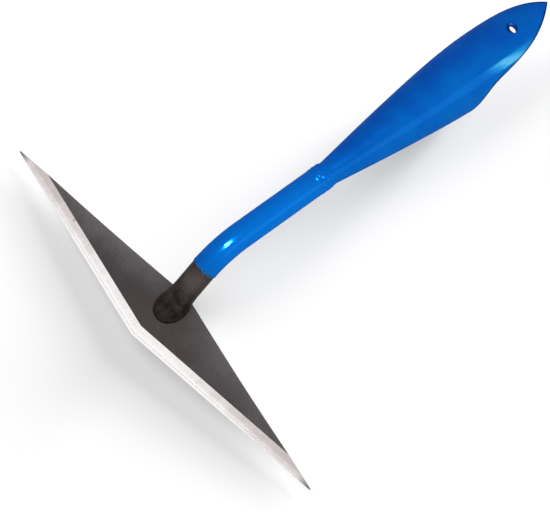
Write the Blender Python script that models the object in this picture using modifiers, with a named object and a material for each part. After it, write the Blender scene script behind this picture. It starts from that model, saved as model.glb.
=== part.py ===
"""Diamond hoe head: a ground diamond blade on a cranked bar, with a rolled socket for a handle.

The tool is modelled in its own frame, where the blade lies flat. X runs along the blade's long
axis, Y from its front corner towards the socket, and Z up from its underside. The pieces that are
turned hang under an empty on the socket's axis: their Z runs along that axis, towards the tail,
and their Y points down. A second empty tips the whole tool into the pose in which it lies on a
table, on the blade's back corner and on the lip of the open socket. All sizes are metres.
"""
import math

import bmesh
import bpy
from mathutils import Matrix, Vector
from mathutils.geometry import interpolate_bezier

TOOL_NAME = "diamond_hoe"

# Gap that separate solids keep where the real ones touch
SEAT_GAP = 0.0003

# Blade
BLADE_LENGTH = 0.2100
FRONT_WIDTH = 0.0167
BACK_WIDTH = 0.0153
BLADE_THICKNESS = 0.0020
BACK_EDGE_HOLLOW = 0.0008
TIP_FLAT = 0.0005
BEVEL_WIDTH = 0.0053
EDGE_LAND = 0.0003

# Cranked bar
BAR_DIAMETER = 0.0120
FOOT_BEHIND_CENTRE = 0.0060
FOOT_ANGLE = math.radians(50.0)
FOOT_RUN = 0.0355
BEND_RADIUS = 0.0340
BEND_STEPS = 16
SOCKET_ANGLE = math.radians(9.7)
STRAIGHT_RUN = 0.0580
SPIGOT_LENGTH = 0.0260
SPIGOT_CHAMFER = 0.0008

# Weld bead round the foot of the bar
FOOT_BEAD_RADIUS = 0.0027
FOOT_BEAD_RIPPLE = 0.00022
FOOT_BEAD_RIPPLES = 26
RIPPLE_STEPS = 6

# Blue dip film on the bar
DIP_LINE = 0.0240
FILM_THICKNESS = 0.00045
FILM_PROUD = 0.00020
BED_STEP = 0.00010

# Weld ring where the bar meets the socket
NECK_RING_WIDTH = 0.0075
NECK_RING_PROUD = 0.00035
NECK_RING_STEPS = 8

# Rolled sheet socket, with stations measured along its axis from the middle of the neck ring
SOCKET_LENGTH = 0.1330
SHEET = 0.0014
NECK_DIAMETER = 0.0116
MID_DIAMETER = 0.0225
MID_STATION = 0.0430
WIDE_DIAMETER = 0.0308
WIDE_STATION = 0.0850
TAIL_DIAMETER = 0.0314
SEAM_GAP = 0.0006
SOCKET_STEPS = 72
PROFILE_STEPS = 9

# How fast the socket's radius grows along its axis at those stations
NECK_FLARE = 0.145
MID_FLARE = 0.125
WIDE_FLARE = 0.045
TAIL_FLARE = 0.0

# Pointed tongue: how far each place lies from the point, and its angle round from the crown
ROOT_FROM_POINT = 0.0410
WAIST_FROM_POINT = 0.0280
HOLE_FROM_POINT = 0.0220
HOLE_DIAMETER = 0.0062
ROOT_ANGLE = math.radians(64.5)
WAIST_ANGLE = math.radians(53.5)

# How fast the tongue narrows towards its point at those places
ROOT_TAPER = 0.10
WAIST_TAPER = 0.14
POINT_TAPER = 0.95

# Swept mouth below the tongue, measured back from the tongue's root, and its slopes seen from the side
SIDE_SETBACK = 0.0105
LIP_SETBACK = 0.0180
ROOT_SLOPE = 0.29
SIDE_SLOPE = 1.0
LIP_SLOPE = 3.5

BLUE = (0.0, 0.125, 0.60, 1.0)
BAR_STEEL = (0.075, 0.062, 0.058, 1.0)
BLADE_STEEL = (0.115, 0.105, 0.105, 1.0)
WELD_STEEL = (0.045, 0.035, 0.033, 1.0)

bar_radius = BAR_DIAMETER / 2
film_radius = bar_radius + FILM_PROUD
neck_radius = NECK_DIAMETER / 2
wide_radius = WIDE_DIAMETER / 2
spigot_radius = neck_radius - SHEET - SEAT_GAP
ring_radius = max(film_radius, neck_radius) + NECK_RING_PROUD
ring_half = NECK_RING_WIDTH / 2
root_station = SOCKET_LENGTH - ROOT_FROM_POINT
waist_station = SOCKET_LENGTH - WAIST_FROM_POINT
side_station = root_station - SIDE_SETBACK
lip_station = root_station - LIP_SETBACK
bend_turn = FOOT_ANGLE - SOCKET_ANGLE
bend_tangent = BEND_RADIUS * math.tan(bend_turn / 2)
bar_length = FOOT_RUN + STRAIGHT_RUN + BEND_RADIUS * bend_turn - 2 * bend_tangent

foot_centre = Vector((0, FOOT_BEHIND_CENTRE, BLADE_THICKNESS))
foot_direction = Vector((0, math.cos(FOOT_ANGLE), math.sin(FOOT_ANGLE)))
socket_direction = Vector((0, math.cos(SOCKET_ANGLE), math.sin(SOCKET_ANGLE)))
socket_upward = Vector((0, -math.sin(SOCKET_ANGLE), math.cos(SOCKET_ANGLE)))
ring_centre = foot_centre + FOOT_RUN * foot_direction + STRAIGHT_RUN * socket_direction


def axis_point(station, height=0.0):
    """Point of the tool at a station along the socket's axis, and a height square to that axis."""
    return ring_centre + station * socket_direction + height * socket_upward


def remove_old_objects():
    """Start from an empty scene."""
    for old in list(bpy.data.objects):
        bpy.data.objects.remove(old, do_unlink=True)


def new_collection(name):
    """Collection linked to the scene."""
    group = bpy.data.collections.new(name)
    bpy.context.scene.collection.children.link(group)
    return group


def new_material(name, colour, metallic, roughness):
    """Principled material of one colour."""
    material = bpy.data.materials.new(name)
    material.use_nodes = True
    shader = material.node_tree.nodes["Principled BSDF"]
    shader.inputs["Base Color"].default_value = colour
    shader.inputs["Metallic"].default_value = metallic
    shader.inputs["Roughness"].default_value = roughness
    material.diffuse_color = colour
    return material


def new_object(name, data, group, parent=None):
    """Object in a collection, and under its parent."""
    thing = bpy.data.objects.new(name, data)
    group.objects.link(thing)
    thing.parent = parent
    return thing


def mesh_of(thing):
    """Mesh object with the evaluated shape of a curve object, which it replaces."""
    bpy.context.view_layer.update()
    seen = thing.evaluated_get(bpy.context.evaluated_depsgraph_get())
    mesh = bpy.data.meshes.new_from_object(seen)
    work = bmesh.new()
    work.from_mesh(mesh)
    bmesh.ops.remove_doubles(work, verts=work.verts, dist=1e-6)
    bmesh.ops.recalc_face_normals(work, faces=work.faces)
    work.to_mesh(mesh)
    work.free()
    name = thing.name
    group = thing.users_collection[0]
    parent = thing.parent
    local = thing.matrix_local.copy()
    bpy.data.objects.remove(thing, do_unlink=True)
    made = new_object(name, mesh, group, parent)
    made.matrix_local = local
    return made


def adopt(thing, name, group, parent):
    """Name a primitive, and move it to its collection and parent."""
    thing.name = name
    for holder in list(thing.users_collection):
        holder.objects.unlink(thing)
    group.objects.link(thing)
    thing.parent = parent
    return thing


def as_cutter(thing):
    """Cutters are guides and don't count as pieces."""
    thing.hide_render = True
    thing.display_type = "WIRE"
    return thing


def boolean(thing, cutter, operation="DIFFERENCE"):
    """Exact boolean of a piece with a cutter."""
    change = thing.modifiers.new(cutter.name, "BOOLEAN")
    change.operation = operation
    change.solver = "EXACT"
    change.object = cutter


def box_cutter(name, size, group, parent):
    """Box whose underside is centred on its origin."""
    bpy.ops.mesh.primitive_cube_add(size=1)
    box = adopt(bpy.context.object, name, group, parent)
    box.data.transform(Matrix.Translation((0, 0, 0.5)))
    box.data.transform(Matrix.Diagonal((*size, 1)))
    return as_cutter(box)


def finish_piece(thing, material, sharp_angle=35.0):
    """Give a piece its material and shade it smooth between its sharp edges."""
    thing.data.materials.clear()
    thing.data.materials.append(material)
    thing.data.shade_smooth()
    thing.data.set_sharp_from_angle(angle=math.radians(sharp_angle))


def flat_outline(name, corners, depth, group, parent):
    """Plate from a closed outline of (x, y, bulge) corners, with its middle plane at z = 0.

    The outline runs anticlockwise. The middle of the edge that follows a corner lies outwards of
    the straight line by its bulge.
    """
    curve = bpy.data.curves.new(name, "CURVE")
    curve.dimensions = "2D"
    curve.fill_mode = "BOTH"
    curve.extrude = depth / 2
    spline = curve.splines.new("BEZIER")
    spline.bezier_points.add(len(corners) - 1)
    spline.use_cyclic_u = True
    for point, (x, y, bulge) in zip(spline.bezier_points, corners):
        point.co = (x, y, 0)
    for index, (x, y, bulge) in enumerate(corners):
        point = spline.bezier_points[index]
        follower = spline.bezier_points[(index + 1) % len(corners)]
        kind = "FREE" if bulge else "VECTOR"
        point.handle_right_type = kind
        follower.handle_left_type = kind
        edge = follower.co - point.co
        outward = Vector((edge.y, -edge.x, 0)).normalized() * bulge * 4 / 3
        point.handle_right = point.co + edge / 3 + outward
        follower.handle_left = point.co + edge * 2 / 3 + outward
    return mesh_of(new_object(name, curve, group, parent))


def round_bar(name, points, radii, group, parent, caps=True):
    """Round bar or open tube along a line of points, with a radius at each."""
    curve = bpy.data.curves.new(name, "CURVE")
    curve.dimensions = "3D"
    curve.bevel_depth = 1.0
    curve.bevel_resolution = 8
    curve.use_fill_caps = caps
    spline = curve.splines.new("POLY")
    spline.points.add(len(points) - 1)
    for point, place, radius in zip(spline.points, points, radii):
        point.co = (*place, 1.0)
        point.radius = radius
    return mesh_of(new_object(name, curve, group, parent))


def turned(name, points, group, parent, steps=SOCKET_STEPS):
    """Profile of (radius, station) points turned about the socket's axis, from its top to its bottom."""
    mesh = bpy.data.meshes.new(name)
    edges = [(index, index + 1) for index in range(len(points) - 1)]
    mesh.from_pydata([(radius, 0, station) for radius, station in points], edges, [])
    piece = new_object(name, mesh, group, parent)
    screw = piece.modifiers.new("turn", "SCREW")
    screw.axis = "Z"
    screw.steps = steps
    screw.render_steps = steps
    screw.use_merge_vertices = True
    screw.merge_threshold = 0.00001
    return piece


def bar_point(distance):
    """Point of the bar's centre line at a distance from its foot, measured along the bar."""
    bend_start = FOOT_RUN - bend_tangent
    if distance <= bend_start:
        return foot_centre + distance * foot_direction
    arc_start = foot_centre + bend_start * foot_direction
    arc_centre = arc_start + BEND_RADIUS * Vector((0, math.sin(FOOT_ANGLE), -math.cos(FOOT_ANGLE)))
    angle = FOOT_ANGLE - min((distance - bend_start) / BEND_RADIUS, bend_turn)
    on_arc = arc_centre + BEND_RADIUS * Vector((0, -math.sin(angle), math.cos(angle)))
    past = max(distance - bend_start - BEND_RADIUS * bend_turn, 0)
    return on_arc + past * socket_direction


def bar_line(start, end):
    """Points of the bar's centre line between two distances from its foot, close round the bend."""
    bend_start = FOOT_RUN - bend_tangent
    step = BEND_RADIUS * bend_turn / BEND_STEPS
    stations = [bend_start + step * index for index in range(BEND_STEPS + 1)]
    between = [station for station in stations if start + step / 4 < station < end - step / 4]
    return [bar_point(station) for station in (start, *between, end)]


def build_blade(pieces, cutters, tool, material):
    """Flat diamond plate, ground to a bevel along its two front edges."""
    tip = BLADE_LENGTH / 2
    half_flat = TIP_FLAT / 2
    corners = [
        (0, -FRONT_WIDTH, 0),
        (tip, -half_flat, 0),
        (tip, half_flat, -BACK_EDGE_HOLLOW),
        (0, BACK_WIDTH, -BACK_EDGE_HOLLOW),
        (-tip, half_flat, 0),
        (-tip, -half_flat, 0),
    ]
    blade = flat_outline("blade", corners, BLADE_THICKNESS, pieces, tool)
    blade.location.z = BLADE_THICKNESS / 2
    slope = math.atan2(BLADE_THICKNESS - EDGE_LAND, BEVEL_WIDTH)
    reach = (3 * BLADE_LENGTH, 6 * BEVEL_WIDTH, 4 * BLADE_THICKNESS)
    for sign, name in ((-1, "left_grind"), (1, "right_grind")):
        grind = box_cutter(name, reach, cutters, tool)
        heading = math.atan2(FRONT_WIDTH - half_flat, sign * tip)
        grind.rotation_euler = (sign * slope, 0, heading)
        grind.location = (0, -FRONT_WIDTH, EDGE_LAND)
        boolean(blade, grind)
    finish_piece(blade, material, 8.0)


def blade_face_cutter(name, cutters, tool):
    """Large box that reaches up to just above the blade's top face."""
    size = 8 * BAR_DIAMETER
    box = box_cutter(name, (size, size, size), cutters, tool)
    box.location = (0, FOOT_BEHIND_CENTRE, BLADE_THICKNESS + SEAT_GAP - size)
    return box


def build_bar(pieces, cutters, tool, material):
    """Round bar from its mitred foot, round the crank, to the spigot inside the socket's neck."""
    film_bed = film_radius - FILM_THICKNESS - SEAT_GAP
    bare = [foot_centre - 2 * BAR_DIAMETER * foot_direction, *bar_line(0, DIP_LINE)[1:]]
    bedded = bar_line(DIP_LINE + BED_STEP, bar_length - ring_half - SEAT_GAP)
    spigot_end = axis_point(ring_half + SPIGOT_LENGTH)
    spigot = [
        bedded[-1] + BED_STEP * socket_direction,
        spigot_end - SPIGOT_CHAMFER * socket_direction,
        spigot_end,
    ]
    radii = [bar_radius] * len(bare) + [film_bed] * len(bedded)
    radii += [spigot_radius, spigot_radius, spigot_radius - SPIGOT_CHAMFER]
    bar = round_bar("bar", [*bare, *bedded, *spigot], radii, pieces, tool)
    boolean(bar, blade_face_cutter("foot_mitre", cutters, tool))
    finish_piece(bar, material)


def build_foot_weld(pieces, cutters, tool, material):
    """Rippled fillet bead that runs once round the mitred foot."""
    count = RIPPLE_STEPS * FOOT_BEAD_RIPPLES
    long_half = bar_radius / math.sin(FOOT_ANGLE)
    curve = bpy.data.curves.new("foot_weld", "CURVE")
    curve.dimensions = "3D"
    curve.bevel_depth = 1.0
    curve.bevel_resolution = 4
    spline = curve.splines.new("POLY")
    spline.points.add(count - 1)
    spline.use_cyclic_u = True
    for index, point in enumerate(spline.points):
        angle = 2 * math.pi * index / count
        x = bar_radius * math.cos(angle)
        y = FOOT_BEHIND_CENTRE + long_half * math.sin(angle)
        point.co = (x, y, BLADE_THICKNESS, 1.0)
        point.radius = FOOT_BEAD_RADIUS + FOOT_BEAD_RIPPLE * math.sin(FOOT_BEAD_RIPPLES * angle)
    bead = mesh_of(new_object("foot_weld", curve, pieces, tool))
    reach = 3 * BAR_DIAMETER * foot_direction
    clear = bar_radius + SEAT_GAP
    line = [foot_centre - reach, foot_centre + reach]
    bore = round_bar("foot_weld_bore", line, [clear, clear], cutters, tool)
    boolean(bead, as_cutter(bore))
    boolean(bead, blade_face_cutter("foot_weld_seat", cutters, tool))
    finish_piece(bead, material)


def build_film(pieces, tool, material):
    """Blue film on the bar, from the dip line to the neck ring."""
    points = bar_line(DIP_LINE + SEAT_GAP, bar_length - ring_half - SEAT_GAP)
    film = round_bar("bar_film", points, [film_radius] * len(points), pieces, tool, caps=False)
    skin = film.modifiers.new("film_wall", "SOLIDIFY")
    skin.thickness = FILM_THICKNESS
    skin.offset = -1
    skin.use_even_offset = True
    finish_piece(film, material)


def build_neck_ring(pieces, axis, material):
    """Coated weld ring that joins the bar to the socket, round the spigot."""
    bore = spigot_radius + SEAT_GAP
    crown = []
    for step in range(NECK_RING_STEPS + 1):
        share = step / NECK_RING_STEPS
        edge = neck_radius * (1 - share) + film_radius * share
        bulge = (ring_radius - edge) * math.sqrt(math.sin(math.pi * share))
        crown.append((edge + bulge, ring_half * (1 - 2 * share)))
    outline = [(bore, ring_half), *crown, (bore, -ring_half), (bore, ring_half)]
    finish_piece(turned("neck_ring", outline, pieces, axis), material)


def smooth_run(knots, steps):
    """Points of a smooth line through (along, across, slope) knots, as (along, across)."""
    points = []
    for (along, across, slope), (next_along, next_across, next_slope) in zip(knots, knots[1:]):
        third = (next_along - along) / 3
        start = Vector((along, across, 0))
        end = Vector((next_along, next_across, 0))
        leave = start + third * Vector((1, slope, 0))
        arrive = end - third * Vector((1, next_slope, 0))
        points += interpolate_bezier(start, leave, arrive, end, steps)[:-1]
    points.append(end)
    return [(point.x, point.y) for point in points]


def socket_profile():
    """Outer (station, radius) profile of the rolled sheet, from the neck to just past its tail."""
    knots = [
        (ring_half + SEAT_GAP, neck_radius, NECK_FLARE),
        (MID_STATION, MID_DIAMETER / 2, MID_FLARE),
        (WIDE_STATION, wide_radius, WIDE_FLARE),
        (SOCKET_LENGTH + SHEET, TAIL_DIAMETER / 2, TAIL_FLARE),
    ]
    return smooth_run(knots, PROFILE_STEPS)


def socket_radius(station):
    """Outer radius of the socket at a station."""
    profile = socket_profile()
    for (along, radius), (next_along, next_radius) in zip(profile, profile[1:]):
        if station <= next_along:
            return radius + (next_radius - radius) * (station - along) / (next_along - along)
    return TAIL_DIAMETER / 2


def tongue_outline():
    """Right half of the tongue's outline seen from above, as (half width, station) up to its point."""
    knots = [
        (root_station, socket_radius(root_station) * math.sin(ROOT_ANGLE), -ROOT_TAPER),
        (waist_station, socket_radius(waist_station) * math.sin(WAIST_ANGLE), -WAIST_TAPER),
        (SOCKET_LENGTH, 0, -POINT_TAPER),
    ]
    return [(across, along) for along, across in smooth_run(knots, PROFILE_STEPS)]


def mouth_outline():
    """Edge of the mouth seen from the side, as (station, height), from its lip up to the tongue."""
    knots = [
        (lip_station, -socket_radius(lip_station), LIP_SLOPE),
        (side_station, 0, SIDE_SLOPE),
        (root_station, socket_radius(root_station) * math.cos(ROOT_ANGLE), ROOT_SLOPE),
    ]
    return smooth_run(knots, PROFILE_STEPS)


def build_socket(pieces, cutters, axis, material):
    """Sheet rolled into a flared tube, with a butt seam below and a screw hole in its pointed tongue."""
    profile = [(radius, station) for station, radius in reversed(socket_profile())]
    socket = turned("socket", profile, pieces, axis)
    wall = socket.modifiers.new("sheet", "SOLIDIFY")
    wall.thickness = SHEET
    wall.offset = -1
    wall.use_even_offset = True
    past = 2 * wide_radius

    # The tongue is cut to its outline from above
    right = [(past, 0), (past, root_station), *tongue_outline()]
    left = [(-across, station) for across, station in reversed(right[:-1])]
    corners = [(across, station, 0) for across, station in right + left]
    tongue = flat_outline("tongue_outline", corners, 2 * past, cutters, axis)
    tongue.rotation_euler.x = math.radians(90)
    boolean(socket, as_cutter(tongue), "INTERSECT")

    # The mouth is cut away from the side, up to the tongue's root
    sweep = mouth_outline()
    far = SOCKET_LENGTH + past
    around = [(far, sweep[-1][1]), (far, -past), (lip_station, -past)]
    corners = [(station, height, 0) for station, height in reversed(sweep + around)]
    mouth = flat_outline("mouth_outline", corners, 2 * past, cutters, axis)
    mouth.rotation_euler = (math.radians(180), math.radians(-90), 0)
    boolean(socket, as_cutter(mouth))

    seam = box_cutter("seam_slot", (SEAM_GAP, past, 2 * SOCKET_LENGTH), cutters, axis)
    seam.location = (0, past / 2, -SOCKET_LENGTH / 2)
    boolean(socket, seam)

    bpy.ops.mesh.primitive_cylinder_add(vertices=48, radius=HOLE_DIAMETER / 2, depth=past)
    hole = adopt(bpy.context.object, "screw_hole", cutters, axis)
    hole.rotation_euler.x = math.radians(90)
    hole.location = (0, -past / 2, SOCKET_LENGTH - HOLE_FROM_POINT)
    boolean(socket, as_cutter(hole))
    finish_piece(socket, material)


def lay_down(tool):
    """Rest the tool on its back corner and the socket's lip, over the middle of its own outline."""
    back_corner = Vector((0, BACK_WIDTH, 0))
    lip = axis_point(lip_station, -socket_radius(lip_station))
    tilt = math.atan2(lip.z - back_corner.z, lip.y - back_corner.y)
    turn = Matrix.Rotation(-tilt, 3, "X")
    front = turn @ Vector((0, -FRONT_WIDTH, 0))
    point = turn @ axis_point(SOCKET_LENGTH, socket_radius(SOCKET_LENGTH))
    tool.rotation_euler.x = -tilt
    tool.location.y = -(front.y + point.y) / 2
    tool.location.z = -(turn @ back_corner).z


def build():
    """Make every piece and lay the tool down."""
    remove_old_objects()
    pieces = new_collection(TOOL_NAME)
    cutters = new_collection("cutters")
    blue = new_material("blue_film", BLUE, 0.0, 0.18)
    bar_steel = new_material("bar_steel", BAR_STEEL, 0.6, 0.55)
    blade_steel = new_material("blade_steel", BLADE_STEEL, 0.7, 0.5)
    weld_steel = new_material("weld_steel", WELD_STEEL, 0.5, 0.6)
    tool = new_object("tool_at_rest", None, pieces)
    axis = new_object("socket_axis", None, pieces, tool)
    axis.location = ring_centre
    axis.rotation_euler.x = SOCKET_ANGLE - math.radians(90)
    build_blade(pieces, cutters, tool, blade_steel)
    build_bar(pieces, cutters, tool, bar_steel)
    build_foot_weld(pieces, cutters, tool, weld_steel)
    build_film(pieces, tool, blue)
    build_neck_ring(pieces, axis, blue)
    build_socket(pieces, cutters, axis, blue)
    lay_down(tool)


build()
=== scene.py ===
# %% [markdown]
# # Dressing a diamond hoe head
# The solids of this hoe head come from a CAD model: a flat diamond blade, a cranked round bar, its weld
# bead, a blue dip film, a weld ring and a rolled socket for a wooden handle. This lesson loads them as a
# fixed frame, makes each again as a finer mesh, and gives it a material.

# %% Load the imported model
import math

import bmesh
import bpy
from mathutils import Matrix, Vector, noise


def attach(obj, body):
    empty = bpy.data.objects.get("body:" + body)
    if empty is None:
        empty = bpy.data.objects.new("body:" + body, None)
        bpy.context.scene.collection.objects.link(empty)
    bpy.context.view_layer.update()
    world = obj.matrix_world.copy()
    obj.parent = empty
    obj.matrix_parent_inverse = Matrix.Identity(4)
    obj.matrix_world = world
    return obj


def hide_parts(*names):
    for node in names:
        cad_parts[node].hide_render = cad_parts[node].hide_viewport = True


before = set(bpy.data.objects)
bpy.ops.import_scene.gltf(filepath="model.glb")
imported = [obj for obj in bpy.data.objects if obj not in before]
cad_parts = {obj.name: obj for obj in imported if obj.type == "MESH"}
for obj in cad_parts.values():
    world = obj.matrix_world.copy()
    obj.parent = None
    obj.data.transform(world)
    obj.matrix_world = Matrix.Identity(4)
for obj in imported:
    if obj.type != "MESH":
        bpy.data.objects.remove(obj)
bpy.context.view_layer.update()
print("nodes:", ", ".join(sorted(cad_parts)))

# %% [markdown]
# ## Where everything lies
# The head rests on the back corner of its blade and on the lip of its socket. It is easiest to model lying
# flat, with the blade's underside at height 0 and X along the blade, so each mesh is made in that frame and
# one matrix lays it down. A second matrix stands on the socket's axis, with Z along the axis and Y down.
# These are the sizes of the CAD source again, in metres, because this script can't read that file.

# %% Sizes and the two frames
MM = 0.001
HALF_LENGTH = 105.0 * MM
FRONT_WIDTH = 16.7 * MM
BACK_WIDTH = 15.3 * MM
BACK_HOLLOW = 0.8 * MM
HALF_TIP = 0.25 * MM
PLATE = 2.0 * MM
GRIND_WIDTH = 5.3 * MM
EDGE_LAND = 0.3 * MM

BAR_RADIUS = 6.0 * MM
FOOT_SETBACK = 6.0 * MM
FOOT_ANGLE = math.radians(50.0)
FOOT_RUN = 35.5 * MM
BEND_RADIUS = 34.0 * MM
SOCKET_ANGLE = math.radians(9.7)
STRAIGHT_RUN = 58.0 * MM
DIP_LINE = 24.0 * MM
FILM_RADIUS = 6.2 * MM
RING_HALF = 3.75 * MM
NECK_RADIUS = 5.8 * MM
SPIGOT_RADIUS = 4.1 * MM
SPIGOT_END = 29.75 * MM
SHEET = 1.4 * MM
REST_TILT = math.radians(-14.1949)
REST_SHIFT = (0, -0.105276, 0.003752)
DIP_PLACE = Vector((0, 0.02144, 0.02038))
DIP_HEADING = Vector((0, 0.675, 0.737))

foot_centre = Vector((0, FOOT_SETBACK, PLATE))
foot_way = Vector((0, math.cos(FOOT_ANGLE), math.sin(FOOT_ANGLE)))
socket_way = Vector((0, math.cos(SOCKET_ANGLE), math.sin(SOCKET_ANGLE)))
ring_centre = foot_centre + FOOT_RUN * foot_way + STRAIGHT_RUN * socket_way

flat_frame = Matrix.Translation(REST_SHIFT) @ Matrix.Rotation(REST_TILT, 4, "X")
axis_turn = Matrix.Rotation(SOCKET_ANGLE - math.pi / 2, 4, "X")
axis_frame = flat_frame @ Matrix.Translation(ring_centre) @ axis_turn
ring_at_rest = flat_frame @ ring_centre
dip_at_rest = flat_frame @ DIP_PLACE
dip_way = flat_frame.to_3x3() @ DIP_HEADING
print("socket axis starts at", [round(1000 * x, 1) for x in axis_frame.translation])

# %% [markdown]
# ## Sums of shader nodes
# A procedural finish is a sum of textures, and sums are easier to read as Python than as a web of nodes.
# This class wraps one output of a node. Its operators add Math nodes, and its node method adds any other
# kind: the settings first, then the values or links of its sockets.

# %% A wrapper for shader sums
class Wire:
    """One output of a node in a material's tree."""

    def __init__(self, tree, socket=None):
        self.tree = tree
        self.socket = socket

    def node(self, kind, settings=None, sockets=None, out=0):
        """Add a node, set it up, feed its sockets, and return one of its outputs."""
        made = self.tree.nodes.new(kind)
        for name, value in (settings or {}).items():
            setattr(made, name, value)
        for name, value in (sockets or {}).items():
            if isinstance(value, Wire):
                self.tree.links.new(value.socket, made.inputs[name])
            else:
                made.inputs[name].default_value = value
        return Wire(self.tree, made.outputs[out] if len(made.outputs) else None)

    def output(self, name):
        """Another output of the same node."""
        return Wire(self.tree, self.socket.node.outputs[name])

    def maths(self, operation, first, second=0.0):
        """Math node on values or other wires."""
        return self.node("ShaderNodeMath", {"operation": operation}, {0: first, 1: second})

    def __add__(self, other):
        return self.maths("ADD", self, other)

    def __radd__(self, other):
        return self.maths("ADD", other, self)

    def __sub__(self, other):
        return self.maths("SUBTRACT", self, other)

    def __rsub__(self, other):
        return self.maths("SUBTRACT", other, self)

    def __mul__(self, other):
        return self.maths("MULTIPLY", self, other)

    def __rmul__(self, other):
        return self.maths("MULTIPLY", other, self)

    def step(self, low, high):
        """Smooth step from 0 to 1 as this value goes from low to high."""
        settings = {"interpolation_type": "SMOOTHSTEP"}
        return self.node("ShaderNodeMapRange", settings, {"Value": self, "From Min": low, "From Max": high})

    def blend(self, first, second):
        """Colour that goes from the first to the second as this value goes from 0 to 1."""
        sockets = {0: self, 6: colour_of(first), 7: colour_of(second)}
        return self.node("ShaderNodeMix", {"data_type": "RGBA"}, sockets, out=2)


def colour_of(value):
    """A colour with its alpha, or a wire as it is."""
    return value if isinstance(value, Wire) else (*value, 1.0)


print("shader sums ready")

# %% [markdown]
# Each finish starts from an empty material and ends in one Principled shader. Between the two it needs few
# things: noise whose blotches have a real size, noise drawn out into streaks, the distance from a spot, and
# a relief. All of them work in the piece's own coordinates, so no finish needs an unwrapped mesh.

# %% Helpers for finishes
def new_finish(name):
    """Empty material, with a wire to start its sums from."""
    material = bpy.data.materials.new(name)
    material.use_nodes = True
    material.node_tree.nodes.clear()
    return material, Wire(material.node_tree)


def close_finish(material, start, **sockets):
    """End a material with a Principled shader."""
    named = {name.replace("_", " "): value for name, value in sockets.items()}
    shader = start.node("ShaderNodeBsdfPrincipled", {}, named)
    start.node("ShaderNodeOutputMaterial", {}, {"Surface": shader})
    return material


def grain(start, place, size, detail, roughness=0.5):
    """Noise between 0 and 1 whose blotches are about a size across, in metres."""
    sockets = {"Vector": place, "Scale": 1 / size, "Detail": detail, "Roughness": roughness}
    return start.node("ShaderNodeTexNoise", {}, sockets)


def streaks(start, place, scale, turn, detail, roughness=0.5):
    """Noise on coordinates that are turned and then scaled along each axis."""
    turned = start.node("ShaderNodeMapping", {}, {"Vector": place, "Rotation": turn})
    drawn_out = start.node("ShaderNodeMapping", {}, {"Vector": turned, "Scale": scale})
    return grain(start, drawn_out, 1.0, detail, roughness)


def away(start, place, spot):
    """Distance from a spot."""
    return start.node("ShaderNodeVectorMath", {"operation": "DISTANCE"}, {0: place, 1: spot}, out=1)


def rest_place(start):
    """Place on the piece as the head lies on the table."""
    return start.node("ShaderNodeTexCoord", {}, {}, out=3)


def flat_place(start):
    """Place on the piece in the flat frame, with X along the blade and Z up from its underside."""
    sockets = {
        "Vector": rest_place(start), "Location": flat_frame.translation, "Rotation": flat_frame.to_euler(),
    }
    return start.node("ShaderNodeMapping", {"vector_type": "TEXTURE"}, sockets)


def relief(start, height, depth, strength):
    """Normal that follows a height between 0 and 1, with a depth in metres."""
    return start.node("ShaderNodeBump", {}, {"Height": height, "Distance": depth, "Strength": strength})


print("helpers for finishes ready")

# %% [markdown]
# ## The blue dip coat
# The socket and most of the bar were dipped in thick gloss enamel. Such a coat levels out to an almost flat
# skin with a faint orange peel and a slow change of depth in its colour. Painted light makes it lighter on
# its right side and on the bar, and painted shade makes it deeper on its left. Only at the dip line is it
# thin: there it is ragged, in pale and dark teal, for about 2 mm. A small metallic share tints its
# highlights blue, and a thin clear coat adds the white ones. One mix serves the socket, the weld ring and
# the film, because it was one dip. A darker mix of painted shade serves the cut edges, the film's lip and
# the screw hole, where the enamel also gathers.

# %% Blue coat
BLUE_DEEP = (0.0, 0.112, 0.650)
BLUE_LIGHT = (0.0, 0.166, 0.730)
BLUE_LIT_ON_BAR = (0.0, 0.200, 0.880)
# The dark mix below is painted shade, for the cut edges, the film's lip and the screw hole.
BLUE_POOLED_SHADE = (0.0, 0.036, 0.200)
BLUE_THICK_SHADE = (0.0, 0.055, 0.290)
LIP_DARK = (0.012, 0.055, 0.115)
LIP_PALE = (0.075, 0.190, 0.290)
BLUE_GLINT = (0.02, 0.60, 1.0, 1.0)
COAT_HAZE = 0.11
POOLED_HAZE = 0.30


def blue_coat(name, deep, light, lit_on_bar, haze):
    """Gloss enamel with a faint orange peel, painted light on its right side and on the bar, and painted
    shade on its left.
    """
    material, start = new_finish(name)
    place = rest_place(start)
    cloud = grain(start, place, 3.2 * MM, 2.0)
    aside = start.node("ShaderNodeSeparateXYZ", {}, {"Vector": place})
    # Painted light: the side term makes the right side lighter and the left deeper, and the bar's colour is
    # lighter too.
    shade = 0.62 * grain(start, place, 14 * MM, 3.0) + 0.20 * cloud + 0.18 * aside.step(-6 * MM, 12 * MM)
    colour = shade.step(0.3, 0.7).blend(deep, light)
    colour = aside.output("Y").step(12 * MM, -30 * MM).blend(colour, lit_on_bar)
    colour = (0.85 * away(start, place, dip_at_rest).step(15 * MM, 6 * MM)).blend(colour, light)
    past = start.node("ShaderNodeVectorMath", {"operation": "DOT_PRODUCT"}, {0: place, 1: dip_way}, out=1)
    past = past - dip_at_rest.dot(dip_way) + 1.4 * MM * grain(start, place, 1.1 * MM, 2.0)
    lip = grain(start, place, 1.0 * MM, 2.0).step(0.46, 0.60).blend(LIP_DARK, LIP_PALE)
    colour = (0.85 * past.step(3.1 * MM, 1.4 * MM)).blend(colour, lip)
    on_weld = away(start, place, ring_at_rest).step(8.5 * MM, 5.5 * MM)
    peel = 0.4 * grain(start, place, 2.2 * MM, 1.0) + 0.6 * grain(start, place, 7.5 * MM, 1.0)
    height = peel + 4.0 * on_weld * grain(start, place, 1.2 * MM, 1.0)
    return close_finish(
        material, start, Base_Color=colour, Metallic=0.10, Roughness=haze + 0.06 * cloud,
        Specular_IOR_Level=0.0, Specular_Tint=BLUE_GLINT, Coat_Weight=0.06, Coat_Roughness=0.08,
        Normal=relief(start, height, 0.06 * MM, 0.4),
    )


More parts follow.
